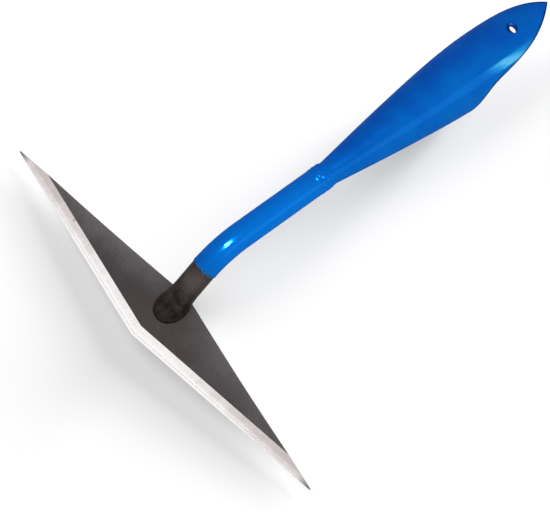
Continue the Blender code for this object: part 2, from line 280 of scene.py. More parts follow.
coat = blue_coat("blue_dip_coat", BLUE_DEEP, BLUE_LIGHT, BLUE_LIT_ON_BAR, COAT_HAZE)
pooled_shade_coat = blue_coat("blue_dip_coat_pooled_shade", BLUE_POOLED_SHADE, BLUE_THICK_SHADE, BLUE_POOLED_SHADE, POOLED_HAZE)
print("made", coat.name, "with", len(coat.node_tree.nodes), "nodes, and", pooled_shade_coat.name)

# %% [markdown]
# ## The steels
# The blade is hot-rolled plate. Its scale is a matt blue-grey skin with browner clouds, warmed to brown by
# the heat of the weld and scuffed here and there. Three measures serve both this scale and the ground edge:
# the place along the blade, the distance from its middle, and the distance in from its front edge.

# %% Mill scale
SCALE_GREY = (0.182, 0.167, 0.170)
SCALE_DARK = (0.056, 0.046, 0.048)
SCALE_BROWN = (0.074, 0.054, 0.052)
SCUFF_GREY = (0.260, 0.250, 0.250)
HEATED_SPOT = (4 * MM, -4 * MM, PLATE)
SHADED_SPOT = (-12 * MM, 8 * MM, PLATE)
edge_heading = math.atan2(FRONT_WIDTH - HALF_TIP, HALF_LENGTH)


def blade_measures(start, place):
    """Place along the blade, distance from its middle, and distance in from its front edge."""
    across = start.node("ShaderNodeSeparateXYZ", {}, {"Vector": place})
    aside = start.maths("ABSOLUTE", across)
    deep = across.output("Y") + FRONT_WIDTH
    return across, aside, deep * math.cos(edge_heading) - aside * math.sin(edge_heading)


def mill_scale(start, place, measures):
    """Colour of the scale with painted shade near the bar's foot, and its fine grain."""
    across, aside, in_from_edge = measures
    cloud = grain(start, place, 22 * MM, 4.0, 0.6)
    fine = grain(start, place, 1.2 * MM, 3.0, 0.6)
    tone = 0.40 * cloud + 0.22 * fine
    tone = tone + 0.33 * in_from_edge.step(4 * MM, 26 * MM) + 0.20 * aside.step(18 * MM, 80 * MM)
    # Painted shade around the left of the bar's foot.
    tone = tone - 0.12 * away(start, place, SHADED_SPOT).step(20 * MM, 6 * MM)
    scale = tone.step(0.28, 0.74).blend(SCALE_DARK, SCALE_GREY)
    scale = (0.22 * across.step(-25 * MM, 30 * MM)).blend(scale, SCALE_BROWN)
    heat = (away(start, place, HEATED_SPOT) + 20 * MM * cloud).step(38 * MM, 14 * MM)
    scale = (0.7 * heat).blend(scale, SCALE_BROWN)
    scuffs = streaks(start, place, (70.0, 1100.0, 70.0), (0, 0, 0.35), 4.0, 0.7)
    scuffed = scuffs.step(0.60, 0.78) * cloud.step(0.42, 0.62) * 0.4
    return scuffed.blend(scale, SCUFF_GREY), fine


print("edge runs at", round(math.degrees(edge_heading), 1), "degrees to the blade's length")

# %% [markdown]
# The two front edges are ground bright, and the wheel leaves fine lines square to the edge, so the lines
# turn at the middle of the blade. A dull line runs along the burr, there is one nick in the left half, and
# the ground face grows duller towards the tips, which end as dark as the scale.

# %% Ground edge
GROUND_STEEL = (0.98, 0.95, 0.95)
GROUND_DULL = (0.58, 0.52, 0.51)
BURR_GREY = (0.32, 0.29, 0.28)
NICK_PLACE = (-60.75 * MM, -2.4 * MM, 1.8 * MM)
WHEEL_LINES = (2600.0, 90.0, 90.0)


def ground_edge(start, place, measures):
    """Colour of the ground face, the wheel's lines and a fine speckle."""
    across, aside, in_from_edge = measures
    left = streaks(start, place, WHEEL_LINES, (0, 0, edge_heading), 3.0)
    right = streaks(start, place, WHEEL_LINES, (0, 0, -edge_heading), 3.0)
    side = across.step(-0.1 * MM, 0.1 * MM)
    lines = left * (1 - side) + right * side
    speckle = grain(start, place, 0.6 * MM, 2.0, 0.6)
    worn = 0.22 * lines + 0.24 * speckle + 0.20 * grain(start, place, 6 * MM, 2.0)
    worn = worn + 0.30 * aside.step(98 * MM, 10 * MM) + 0.20 * in_from_edge.step(3.4 * MM, 0.8 * MM)
    bright = worn.step(0.30, 0.74).blend(GROUND_DULL, GROUND_STEEL)
    burr = in_from_edge.step(0.95 * MM, 1.10 * MM) - in_from_edge.step(1.18 * MM, 1.35 * MM)
    bright = (burr * lines.step(0.35, 0.6) * 0.7).blend(bright, BURR_GREY)
    nick = (away(start, place, NICK_PLACE) + 0.8 * MM * speckle).step(1.7 * MM, 0.6 * MM)
    bright = (0.6 * nick).blend(bright, BURR_GREY)
    return aside.step(96 * MM, 104.5 * MM).blend(bright, SCALE_GREY), lines, speckle


print("wheel lines are", round(1000 / WHEEL_LINES[0], 2), "mm apart")

# %% [markdown]
# The mask between scale and ground steel follows the ground face itself, so it is a distance in from the
# edge, made a little ragged by noise. The same mask shares out how metallic, rough and pitted the two are.

# %% Blade steel
def blade_steel():
    """Dark mill scale, ground bright along the two front edges."""
    material, start = new_finish("blade_scale_and_grind")
    place = flat_place(start)
    measures = blade_measures(start, place)
    scale, fine = mill_scale(start, place, measures)
    bright, lines, speckle = ground_edge(start, place, measures)
    ragged = measures[2] + 0.16 * MM * grain(start, place, 1.6 * MM, 2.0)
    ground = ragged.step(GRIND_WIDTH + 0.12 * MM, GRIND_WIDTH - 0.02 * MM)
    rolled = 1 - ground
    pits = grain(start, place, 0.6 * MM, 3.0, 0.7) * rolled + (0.25 * lines + 0.25 * speckle) * ground
    return close_finish(
        material, start, Base_Color=ground.blend(scale, bright), Metallic=0.35 + 0.6 * ground,
        Roughness=(0.50 + 0.18 * fine) * rolled + (0.30 + 0.22 * lines) * ground,
        Normal=relief(start, pits, 0.04 * MM, 0.6),
    )


plate_steel = blade_steel()
print("made", plate_steel.name)

# %% [markdown]
# The bar is hot-rolled too, but redder and darker, with faint marks along it from the rolls. One patch on
# its upper side is paler. Painted shade darkens it along both sides and low down, and near the weld, where
# it is sooty as well. The weld bead at its foot is nearly black: its slag came off, and its own oxide
# stayed. Painted shade blackens its toe and lies in dark arcs in its last ripples on the right. They are a
# sine of the distance from one point, kept near another.

# %% Bar and weld steel
BAR_DARK = (0.007, 0.0045, 0.005)
BAR_BROWN = (0.076, 0.054, 0.052)
BAR_PALE = (0.125, 0.100, 0.092)
WELD_DARK = (0.005, 0.003, 0.0035)
WELD_BROWN = (0.062, 0.042, 0.040)
PALE_UPPER_SPOT = (3 * MM, 12.5 * MM, 21 * MM)
SOOTY_SHADED_SPOT = (-6 * MM, 4 * MM, 6 * MM)
RIPPLE_CENTRE = (0, -1 * MM, 3 * MM)
RIPPLE_SPOT = (6.2 * MM, -3.5 * MM, 3.5 * MM)
RIPPLE_STEP = 1 * MM


def bar_steel():
    """Brown-black scale with marks along the bar, a paler patch, and painted shade along its sides, low down
    and near the weld.
    """
    material, start = new_finish("bar_hot_rolled")
    place = flat_place(start)
    aside = start.node("ShaderNodeSeparateXYZ", {}, {"Vector": place})
    tall = aside.output("Z")
    cloud = grain(start, place, 7 * MM, 4.0, 0.65)
    fine = grain(start, place, 0.7 * MM, 3.0, 0.6)
    marks = streaks(start, place, (900.0, 60.0, 60.0), (FOOT_ANGLE, 0, 0), 2.0)
    colour = (0.5 * cloud + 0.25 * fine + 0.25 * marks).step(0.34, 0.62).blend(BAR_DARK, BAR_BROWN)
    pale_patch = (away(start, place, PALE_UPPER_SPOT) + 6 * MM * fine).step(13.5 * MM, 4 * MM)
    colour = (0.75 * pale_patch).blend(colour, BAR_PALE)
    # Painted shade, with soot near the weld: darker near the weld, on the left side, at the right edge and
    # low down.
    shaded = 0.8 * (away(start, place, SOOTY_SHADED_SPOT) + 8 * MM * cloud).step(19 * MM, 8 * MM)
    shaded = shaded + 0.7 * (aside + 2 * MM * cloud).step(0.0, -4.5 * MM)
    shaded = shaded + 0.35 * aside.step(4.2 * MM, 5.8 * MM)
    shaded = shaded + 0.6 * (tall + 8 * MM * cloud).step(20 * MM, 10 * MM)
    colour = start.maths("MINIMUM", shaded, 0.9).blend(colour, BAR_DARK)
    return close_finish(
        material, start, Base_Color=colour, Metallic=0.35, Roughness=0.42 + 0.25 * fine,
        Specular_IOR_Level=0.2, Normal=relief(start, 0.5 * fine + 0.5 * marks, 0.06 * MM, 0.6),
    )


def weld_metal():
    """Dark oxide, nearly as brown as the bar above, with painted shade black along the toe and in dark arcs
    between its ripples.
    """
    material, start = new_finish("weld_oxide")
    place = flat_place(start)
    tall = start.node("ShaderNodeSeparateXYZ", {}, {"Vector": place}, out=2)
    cloud = grain(start, place, 5 * MM, 3.0, 0.6)
    fine = grain(start, place, 0.5 * MM, 3.0, 0.6)
    colour = (0.6 * cloud + 0.4 * fine).step(0.34, 0.70).blend(WELD_DARK, WELD_BROWN)
    # Painted shade along the toe.
    colour = tall.step(3.2 * MM, 2.3 * MM).blend(colour, WELD_DARK)
    # Painted shade in dark arcs between the ripples.
    phase = (away(start, place, RIPPLE_CENTRE) + 0.3 * MM * cloud) * (2 * math.pi / RIPPLE_STEP)
    near = away(start, place, RIPPLE_SPOT).step(5.2 * MM, 3 * MM)
    arcs = start.maths("SINE", phase).step(0.0, 0.8) * near * 0.8
    return close_finish(
        material, start, Base_Color=arcs.blend(colour, WELD_DARK), Metallic=0.4,
        Roughness=0.36 + 0.3 * fine, Specular_IOR_Level=0.2, Normal=relief(start, fine, 0.06 * MM, 0.6),
    )


rolled_steel = bar_steel()
bead_steel = weld_metal()
print("made", rolled_steel.name, "and", bead_steel.name)

# %% [markdown]
# ## Helpers for pieces
# Every mesh below is a list of points and faces. The first helper closes the mesh, gives it its finish and
# smooth shading, puts it in its frame, hides the CAD solid that it stands for, and lets it ride on the body.
# The others add objects, round corners, join rings of points, and give the same noise on every run.

# %% Helpers for pieces
SAME_POINT = 1e-7
dressed = []


def put_in_scene(name, data):
    """New object in the scene."""
    thing = bpy.data.objects.new(name, data)
    bpy.context.scene.collection.objects.link(thing)
    return thing


def new_piece(name, points, faces, place, finish, stands_for, sharp=60.0):
    """Mesh piece that replaces a node of the frame."""
    mesh = bpy.data.meshes.new(name)
    mesh.from_pydata([place @ Vector(point) for point in points], [], faces)
    work = bmesh.new()
    work.from_mesh(mesh)
    bmesh.ops.remove_doubles(work, verts=work.verts, dist=SAME_POINT)
    bmesh.ops.dissolve_degenerate(work, edges=work.edges, dist=SAME_POINT)
    loose = [vertex for vertex in work.verts if not vertex.link_faces]
    bmesh.ops.delete(work, geom=loose, context="VERTS")
    bmesh.ops.recalc_face_normals(work, faces=work.faces)
    work.to_mesh(mesh)
    work.free()
    mesh.materials.append(finish)
    mesh.shade_smooth()
    mesh.set_sharp_from_angle(angle=math.radians(sharp))
    piece = put_in_scene(name, mesh)
    dressed.append(piece)
    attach(piece, "root")
    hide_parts(stands_for)
    print(name, "has", len(mesh.polygons), "faces of", len(faces))
    return piece


def add_bevel(piece, name, width, segments, limit):
    """Small rounding of the corners that are sharper than a limit in degrees."""
    bevel = piece.modifiers.new(name, "BEVEL")
    bevel.width = width
    bevel.segments = segments
    bevel.limit_method = "ANGLE"
    bevel.angle_limit = math.radians(limit)
    bevel.use_clamp_overlap = True
    bevel.harden_normals = True
    return bevel


def ring_faces(rings, round_count, closed_ends=False, join=False):
    """Faces between rings of points that each go round with the same count."""
    faces = []
    for ring in range(rings if join else rings - 1):
        after = (ring + 1) % rings
        for index in range(round_count):
            beside = (index + 1) % round_count
            faces.append((
                ring * round_count + index, ring * round_count + beside,
                after * round_count + beside, after * round_count + index,
            ))
    if closed_ends:
        faces.append(tuple(reversed(range(round_count))))
        faces.append(tuple(range((rings - 1) * round_count, rings * round_count)))
    return faces


def wobble(place, size, seed):
    """Smooth random height between about -1 and 1 that is the same on every run."""
    return noise.noise(Vector(place) / size + Vector((seed, 2 * seed, 3 * seed)))


print("helpers for pieces ready")

# %% [markdown]
# ## The blade
# The real blade is cropped from 2 mm plate and ground by hand along its two front edges. It is lofted here
# from sections across it, one for each station along its length, so that the ground face can wander a
# little as a hand-held grind does. A fine bevel takes the razor edge off every corner.

# %% Blade
BLADE_STATIONS = 72
TIP_CROWDING = 0.9
GRIND_WANDER = 0.11 * MM
WANDER_LENGTH = 12 * MM
GRIND_STEPS = 4
FLAT_STEPS = 5
BLADE_SHARP = 8.0
grind_reach = GRIND_WIDTH / math.cos(edge_heading)


def between(first, second, step, steps):
    """Value at a step of the way from the first to the second."""
    return first + (second - first) * step / steps


def blade_section(along):
    """Points (across, height) round the blade's section at a place along it."""
    share = 1 - abs(along) / HALF_LENGTH
    front = -(HALF_TIP + (FRONT_WIDTH - HALF_TIP) * share)
    back = HALF_TIP + (BACK_WIDTH - HALF_TIP) * share - 4 * BACK_HOLLOW * share * (1 - share)
    reach = grind_reach + GRIND_WANDER * wobble((along, 0, 0), WANDER_LENGTH, 4.0)
    crease = min(front + reach, back)
    crest = EDGE_LAND + (PLATE - EDGE_LAND) * (crease - front) / reach
    points = [(front, 0.0), (front, EDGE_LAND)]
    for step in range(1, GRIND_STEPS):
        height = between(EDGE_LAND, crest, step, GRIND_STEPS)
        points.append((between(front, crease, step, GRIND_STEPS), height))
    points += [(between(crease, back, step, FLAT_STEPS), crest) for step in range(FLAT_STEPS + 1)]
    points += [(between(back, front, step, FLAT_STEPS), 0.0) for step in range(FLAT_STEPS)]
    return points


def build_blade():
    """Loft the blade from tip to tip."""
    points = []
    for index in range(2 * BLADE_STATIONS + 1):
        share = index / BLADE_STATIONS - 1
        along = HALF_LENGTH * math.copysign(abs(share) ** TIP_CROWDING, share)
        points += [(along, across, height) for across, height in blade_section(along)]
    faces = ring_faces(2 * BLADE_STATIONS + 1, len(blade_section(0.0)), closed_ends=True)
    piece = new_piece(
        "blade_plate", points, faces, flat_frame, plate_steel, "blade", BLADE_SHARP,
    )
    add_bevel(piece, "softened_corners", 0.10 * MM, 2, 12.0)


build_blade()

# %% [markdown]
# ## The bar
# The bar stands in one plane, so its centre line is a straight foot, an arc and a second straight run. A
# ring of points round each place on that line makes the tube. The first ring is cut to the plate, because
# the real foot was mitred to sit flat before it was welded. Under the film the bar is thinner, and it ends
# in a spigot with a rounded end, inside the socket's neck.

# %% Centre line and bar
BAR_ROUND = 72
BAR_SHARP = 40.0
FOOT_LIFT = 0.05 * MM
FOOT_CLEAR = 8.5 * MM
BARE_RINGS = 25
BARE_STEP = 0.75 * MM
THIN_START = 26.6 * MM
THIN_RADIUS = 5.3 * MM
THIN_RINGS = 31
THIN_STEP = 2.0 * MM
turns = [2 * math.pi * index / BAR_ROUND for index in range(BAR_ROUND)]
bend_turn = FOOT_ANGLE - SOCKET_ANGLE
bend_trim = BEND_RADIUS * math.tan(bend_turn / 2)
bend_start = FOOT_RUN - bend_trim
bar_length = bend_start + BEND_RADIUS * bend_turn + STRAIGHT_RUN - bend_trim


def bar_place(distance):
    """Centre and outward direction of the bar's upper side at a distance from its foot."""
    turned = min(max(distance - bend_start, 0.0) / BEND_RADIUS, bend_turn)
    angle = FOOT_ANGLE - turned
    upward = Vector((0, -math.sin(angle), math.cos(angle)))
    if distance <= bend_start:
        return foot_centre + distance * foot_way, upward
    first_upward = Vector((0, -math.sin(FOOT_ANGLE), math.cos(FOOT_ANGLE)))
    arc_centre = foot_centre + bend_start * foot_way - BEND_RADIUS * first_upward
    past = max(distance - bend_start - BEND_RADIUS * bend_turn, 0.0)
    return arc_centre + BEND_RADIUS * upward + past * socket_way, upward


def bar_ring(distance, radius):
    """Ring of points round the bar."""
    centre, upward = bar_place(distance)
    aside = Vector((1, 0, 0))
    return [centre + radius * (math.sin(angle) * aside + math.cos(angle) * upward) for angle in turns]


def build_bar():
    """Bar from the mitred foot to the end of the spigot inside the socket."""
    foot = []
    for point in bar_ring(0.0, BAR_RADIUS):
        rise = (PLATE + FOOT_LIFT - point.z) / foot_way.z
        foot.append(point + rise * foot_way)
    profile = [(FOOT_CLEAR + BARE_STEP * step, BAR_RADIUS) for step in range(BARE_RINGS)]
    profile += [(THIN_START + THIN_STEP * step, THIN_RADIUS) for step in range(THIN_RINGS)]
    profile += [(distance * MM, SPIGOT_RADIUS) for distance in (90.5, 100.0, 110.0)]
    end = bar_length + SPIGOT_END
    for back, inward in ((0.8, 0.0), (0.25, 0.35), (0.0, 0.9)):
        profile.append((end - back * MM, SPIGOT_RADIUS - inward * MM))
    rings = [foot] + [bar_ring(distance, radius) for distance, radius in profile]
    points = [point for ring in rings for point in ring]
    faces = ring_faces(len(rings), BAR_ROUND, closed_ends=True)
    new_piece("cranked_bar", points, faces, flat_frame, rolled_steel, "bar", BAR_SHARP)


build_bar()
print("bar is", round(1000 * bar_length, 1), "mm long to the middle of the weld ring")

# %% [markdown]
# ## The foot weld
# One bead runs round the foot. On a real fillet the metal leans on the bar and on the plate, and sets in
# small overlapping ripples. Here a section swings from the plate up to the side of the bar at each place
# round the foot, and its size pulses with the ripples. The bead is narrow and tall at its left front, and
# narrow at its right, as the real one is.

# %% Foot weld
BEAD_TOE = 2.3 * MM
BEAD_CLIMB = 9.0 * MM
BEAD_ROUND = 260
BEAD_SIDE = 14
BEAD_RIPPLES = 46
RIPPLE_SIZE = 0.17
BEAD_ROLL = 0.30 * MM
BEAD_INSIDE = 0.4 * MM
BEAD_LIFT = 0.02 * MM
LEFT_FRONT = math.radians(225.0)
RIGHT_BACK = math.radians(30.0)
upright = Vector((0, 0, 1))


def bead_section(angle):
    """Points of the bead's section at an angle round the foot, from its toe to its top and inside."""
    long_half = BAR_RADIUS / math.sin(FOOT_ANGLE)
    edge = Vector((BAR_RADIUS * math.cos(angle), FOOT_SETBACK + long_half * math.sin(angle), PLATE))
    outward = Vector((long_half * math.cos(angle), BAR_RADIUS * math.sin(angle), 0)).normalized()
    left = max(0.0, math.cos(angle - LEFT_FRONT))
    right = max(0.0, math.cos(angle - RIGHT_BACK))
    lump = 1 - 0.52 * left - 0.50 * right + 0.06 * wobble(edge, 3 * MM, 9.0)
    climb = BEAD_CLIMB * (1 + 0.5 * left + 0.12 * wobble(edge, 6 * MM, 3.0))
    drift = 2.0 * wobble(edge, 2 * MM, 7.0)
    points = []
    for step in range(BEAD_SIDE + 1):
        up = step / BEAD_SIDE
        fade = math.sin(math.pi * min(1.0, 0.12 + up)) * (1 - up) ** 1.5 * (1 - 0.7 * left)
        ripple = RIPPLE_SIZE * fade * math.sin(BEAD_RIPPLES * angle + 14.0 * (up - 0.3) ** 2 + drift)
        reach = BEAD_TOE * lump * ((1 - up) ** (1.25 - 0.25 * left) + ripple)
        roll = BEAD_ROLL * math.sin(math.pi * min(1.0, up * 3.2)) * (1 if up < 0.32 else 0)
        points.append(edge + reach * outward + climb * up ** 1.3 * foot_way + roll * (outward + upright))
    points.append(edge - BEAD_INSIDE * outward + BEAD_LIFT * upright)
    return points


def build_foot_weld():
    """Rippled fillet bead round the mitred foot."""
    points = []
    for index in range(BEAD_ROUND):
        points += bead_section(2 * math.pi * index / BEAD_ROUND)
    faces = ring_faces(BEAD_ROUND, BEAD_SIDE + 2, join=True)
    new_piece("foot_bead", points, faces, flat_frame, bead_steel, "foot_weld")


build_foot_weld()

# %% [markdown]
# ## The film on the bar
# The dip stopped in a line square to the bar. Enamel draws up into a soft lip along such a line, and the
# line is never quite even, so the first rings of this sleeve swell a little and wander along the bar. The
# very edge takes the dark mix of the coat, painted shade along the lip.

# %% Blue film
FILM_INSIDE = 5.7 * MM
FILM_SETBACK = 0.15 * MM
FILM_OVERLAP = 0.1 * MM
FILM_STEPS = 60
FILM_LIP = [
    (0.0, 5.99), (0.05, 6.10), (0.18, 6.19), (0.40, 6.25),
    (0.75, 6.28), (1.2, 6.27), (1.8, 6.23), (2.6, 6.20),
]
DARK_LIP_RINGS = 2
WANDER_REACH = 4.0 * MM
NEXT_PLACE = 0.5 * MM


def darken(piece, numbers):
    """Give some faces of an enamelled piece the dark mix, which paints shade on them."""
    piece.data.materials.append(pooled_shade_coat)
    for number in numbers:
        piece.data.polygons[number].material_index = 1


def film_ring(distance, radius, near):
    """Ring of points round the film, which wanders along the bar where it is near the dip line."""
    onward = (bar_place(distance + NEXT_PLACE)[0] - bar_place(distance)[0]).normalized()
    ring = []
    for angle, point in zip(turns, bar_ring(distance, radius)):
        spot = (math.sin(angle), math.cos(angle), 0.3)
        slip = near * (0.45 * wobble(spot, 0.9, 5.0) + 0.30 * wobble(spot, 0.28, 8.0)) * MM
        ring.append(point + slip * onward)
    return ring


def build_film():
    """Sleeve of enamel from the dip line to the weld ring."""
    start = DIP_LINE + FILM_SETBACK
    end = bar_length - RING_HALF + FILM_OVERLAP
    outer = [(start + along * MM, radius * MM) for along, radius in FILM_LIP]
    first = outer[-1][0]
    outer += [(between(first, end, step, FILM_STEPS), FILM_RADIUS) for step in range(1, FILM_STEPS + 1)]
    inner = [(distance, FILM_INSIDE) for distance, radius in reversed(outer)]
    points = []
    for distance, radius in outer + inner:
        points += film_ring(distance, radius, max(0.0, 1 - (distance - start) / WANDER_REACH))
    faces = ring_faces(len(outer) + len(inner), BAR_ROUND, join=True)
    piece = new_piece("bar_enamel", points, faces, flat_frame, coat, "bar_film")
    darken(piece, range(DARK_LIP_RINGS * BAR_ROUND))


build_film()

# %% [markdown]
# ## The weld ring at the neck
# The socket's neck is welded round the bar, and the enamel covers the bead. Its lumps are softened by the
# coat, so a smooth noise on a turned profile is enough. The profile meets the film and the neck flush.

# %% Neck ring
RING_STATIONS = 28
RING_START = -4.15 * MM
RING_END = 4.35 * MM
RING_AT_FILM = 6.17 * MM
RING_AT_NECK = 5.83 * MM
RING_INSIDE = 4.4 * MM
RING_SWELL = 0.22 * MM


def turned_point(angle, radius, station):
    """Point round the socket's axis, at an angle from its crown."""
    return Vector((radius * math.sin(angle), -radius * math.cos(angle), station))


def ring_height(angle, share, station):
    """Radius of the lumpy bead at an angle, a share of the way along it."""
    spot = (FILM_RADIUS * math.sin(angle), FILM_RADIUS * math.cos(angle), station)
    lump = (0.30 * wobble(spot, 2.6 * MM, 6.0) + 0.52 * wobble(spot, 1.3 * MM, 2.0)) * MM
    crown = math.sin(math.pi * share)
    return between(RING_AT_FILM, RING_AT_NECK, share, 1) + RING_SWELL * crown ** 0.45 + lump * crown ** 0.6


def build_neck_ring():
    """Lumpy coated bead between the bar and the socket."""
    points = []
    for step in range(RING_STATIONS + 1):
        share = step / RING_STATIONS
        station = between(RING_START, RING_END, share, 1)
        points += [turned_point(angle, ring_height(angle, share, station), station) for angle in turns]
    for station in (RING_END, RING_START):
        points += [turned_point(angle, RING_INSIDE, station) for angle in turns]
    faces = ring_faces(RING_STATIONS + 3, BAR_ROUND, join=True)
    new_piece("neck_bead", points, faces, axis_frame, coat, "neck_ring")


build_neck_ring()

# %% [markdown]
# ## The rolled socket
# This is the hardest piece. One flat blank is rolled into a flared tube, with its two sides meeting in a
# seam underneath. Its open end was cut before rolling, so the edge sweeps from a lip below, up both sides,
# and out to a pointed tongue with a hole for the screw that holds the handle. The tube's radius, the
# tongue's half width and the mouth's height are three smooth lines through a few measured knots.

# %% Profile of the socket
SOCKET_START = 4.05 * MM
POINT_STATION = 133.0 * MM
ROOT_STATION = 92.0 * MM
WAIST_STATION = 105.0 * MM
SIDE_STATION = 81.5 * MM
LIP_STATION = 74.0 * MM
ROOT_TURN = math.radians(64.5)
WAIST_TURN = math.radians(53.5)


def smooth_line(knots, along):
    """Height at a place on the smooth line through (along, height, slope) knots."""
    for start, end in zip(knots, knots[1:]):
        if along <= end[0]:
            break
    run = end[0] - start[0]
    part = (along - start[0]) / run
    rise = end[1] - start[1]
    leave = run * start[2] - rise
    arrive = rise - run * end[2]
    return start[1] + part * rise + part * (1 - part) * ((1 - part) * leave + part * arrive)


radius_knots = [
    (SOCKET_START, NECK_RADIUS, 0.145), (43.0 * MM, 11.25 * MM, 0.125),
    (85.0 * MM, 15.4 * MM, 0.045), (134.4 * MM, 15.7 * MM, 0.0),
]


def tube_radius(station):
    """Outer radius of the rolled tube."""
    return smooth_line(radius_knots, station)


tongue_knots = [
    (ROOT_STATION, tube_radius(ROOT_STATION) * math.sin(ROOT_TURN), -0.10),
    (WAIST_STATION, tube_radius(WAIST_STATION) * math.sin(WAIST_TURN), -0.14),
    (POINT_STATION, 0.0, -0.95),
]
mouth_knots = [
    (LIP_STATION, -tube_radius(LIP_STATION), 3.5),
    (SIDE_STATION, 0.0, 1.0),
    (ROOT_STATION, tube_radius(ROOT_STATION) * math.cos(ROOT_TURN), 0.29),
]
print("socket's mouth is", round(2000 * tube_radius(SIDE_STATION), 1), "mm across its outside")

# %% [markdown]
# The mesh copies the flat blank: a grid of columns along the tube that all end on the cut edge, spaced
# evenly along that edge. So the edge is smooth without a boolean, and the gloss shows no dents. This cell
# walks down half of the edge in small steps and then shares it out evenly.

# %% Cut edge of the socket
SEAM_HALF = 0.3 * MM
EDGE_PIECES = 138
EDGE_SAMPLES = 400


def edge_line():
    """Half of the cut edge as (angle, station), in small steps from the tongue's point to the seam."""
    line = []
    for step in range(EDGE_SAMPLES):
        station = between(POINT_STATION, ROOT_STATION, step, EDGE_SAMPLES)
        line.append((math.asin(smooth_line(tongue_knots, station) / tube_radius(station)), station))
    for step in range(EDGE_SAMPLES + 1):
        station = LIP_STATION + (ROOT_STATION - LIP_STATION) * (1 - step / EDGE_SAMPLES) ** 2
        height = smooth_line(mouth_knots, station) / tube_radius(station)
        seam = math.pi - SEAM_HALF / tube_radius(station)
        line.append((min(math.acos(max(-1.0, height)), seam), station))
    return line


def cut_edge():
    """The same half of the edge, in equal steps."""
    line = edge_line()
    places = [turned_point(angle, tube_radius(station), station) for angle, station in line]
    lengths = [0.0]
    for before, after in zip(places, places[1:]):
        lengths.append(lengths[-1] + (after - before).length)
    even = []
    index = 0
    for step in range(EDGE_PIECES + 1):
        target = lengths[-1] * step / EDGE_PIECES
        while index < len(lengths) - 2 and lengths[index + 1] < target:
            index += 1
        part = (target - lengths[index]) / (lengths[index + 1] - lengths[index] or 1.0)
        first, second = line[index], line[index + 1]
        even.append(tuple(a + (b - a) * min(part, 1.0) for a, b in zip(first, second)))
    print("cut edge is", round(1000 * lengths[-1], 1), "mm long on each side")
    return even


edge = cut_edge()

# %% [markdown]
# The screw hole is made in the grid as well. A block of cells is left out of the tongue, and the rings of
# points round that block are eased from a square into a circle.

# %% Rows of the grid and the screw hole
HOLE_STATION = 111.0 * MM
HOLE_RADIUS = 3.1 * MM
HOLE_COLUMNS = 7
HOLE_ROWS = 5
HOLE_EASE = 1.5
HOLE_GROWTH = 0.8
CLOSE_START = 99.0 * MM
BODY_ROWS = 60
CLOSE_ROWS = 20
TONGUE_ROWS = 36
row_stations = [between(SOCKET_START, CLOSE_START, step, BODY_ROWS) for step in range(BODY_ROWS)]
row_stations += [between(CLOSE_START, HOLE_STATION, step, CLOSE_ROWS) for step in range(CLOSE_ROWS)]
row_stations += [between(HOLE_STATION, POINT_STATION, step, TONGUE_ROWS) for step in range(TONGUE_ROWS + 1)]
hole_row = BODY_ROWS + CLOSE_ROWS


def row_place(row, end):
    """Station of a row in a column that ends early: rows far from the edge hardly move."""
    base = row_stations[row]
    short = POINT_STATION - end
    whole = POINT_STATION - SOCKET_START
    power = min(8.0, max(1.0, 0.5 * whole / max(short, 1e-6)))
    return base - short * ((base - SOCKET_START) / whole) ** power


def hole_place(columns, rows, angle, station):
    """Ease a point near the screw hole onto rings round it."""
    level = max(abs(columns) / HOLE_COLUMNS, abs(rows) / HOLE_ROWS)
    if level < 1 or level > 1 + HOLE_EASE:
        return angle, station
    across = columns / HOLE_COLUMNS / level
    along = rows / HOLE_ROWS / level
    if abs(across) >= abs(along):
        turn = along * math.pi / 4 if across > 0 else math.pi - along * math.pi / 4
    else:
        turn = math.pi / 2 - across * math.pi / 4 if along > 0 else -math.pi / 2 + across * math.pi / 4
    ring = HOLE_RADIUS * (1 + HOLE_GROWTH * (level - 1))
    part = (level - 1) / HOLE_EASE
    keep = part * part * (3 - 2 * part)
    aside = ring * math.cos(turn) * (1 - keep) + tube_radius(station) * angle * keep
    onward = (HOLE_STATION + ring * math.sin(turn)) * (1 - keep) + station * keep
    return aside / tube_radius(onward), onward


print("grid has", len(row_stations), "rows and", 2 * EDGE_PIECES + 1, "columns")

# %% [markdown]
# The mesh is the outer skin of the sheet. One modifier gives it its thickness inwards, and a second rounds
# the cut edges, which carry thick enamel: the faces within 0.8 mm of them take the dark mix, as do the
# sheet's rim and the rounding, painted shade along the edges.

# %% Build the socket
SPREAD_LIMIT = 1.02
EDGE_ROWS = 14
EDGE_DARK = 0.80 * MM


def socket_grid(columns):
    """Points of the outer skin and its faces, without the screw hole."""
    count = len(row_stations)
    points = []
    faces = []
    for column, (angle, end) in enumerate(columns):
        off_column = column - EDGE_PIECES
        for row in range(count):
            station = row_place(row, end)
            spread = (math.pi - SEAM_HALF / tube_radius(station)) / edge[-1][0]
            off_row = row - hole_row
            turn, station = hole_place(off_column, off_row, angle * min(spread, SPREAD_LIMIT), station)
            points.append(turned_point(turn, tube_radius(station), station))
            in_hole = -HOLE_COLUMNS <= off_column < HOLE_COLUMNS and -HOLE_ROWS <= off_row < HOLE_ROWS
            if column < len(columns) - 1 and row < count - 1 and not in_hole:
                corner = column * count + row
                faces.append((corner, corner + count, corner + count + 1, corner + 1))
    return points, faces


def near_edge(points, faces):
    """Numbers of the faces close to the cut edge."""
    count = len(row_stations)
    rim = points[count - 1::count]
    close = []
    for number, face in enumerate(faces):
        column, row = divmod(face[0], count)
        if row < count - 1 - EDGE_ROWS:
            continue
        along = (rim[min(column + 2, len(rim) - 1)] - rim[max(column - 1, 0)]).normalized()
        gap = sum((points[corner] for corner in face), Vector()) / 4 - rim[column]
        if (gap - gap.dot(along) * along).length < EDGE_DARK:
            close.append(number)
    return close


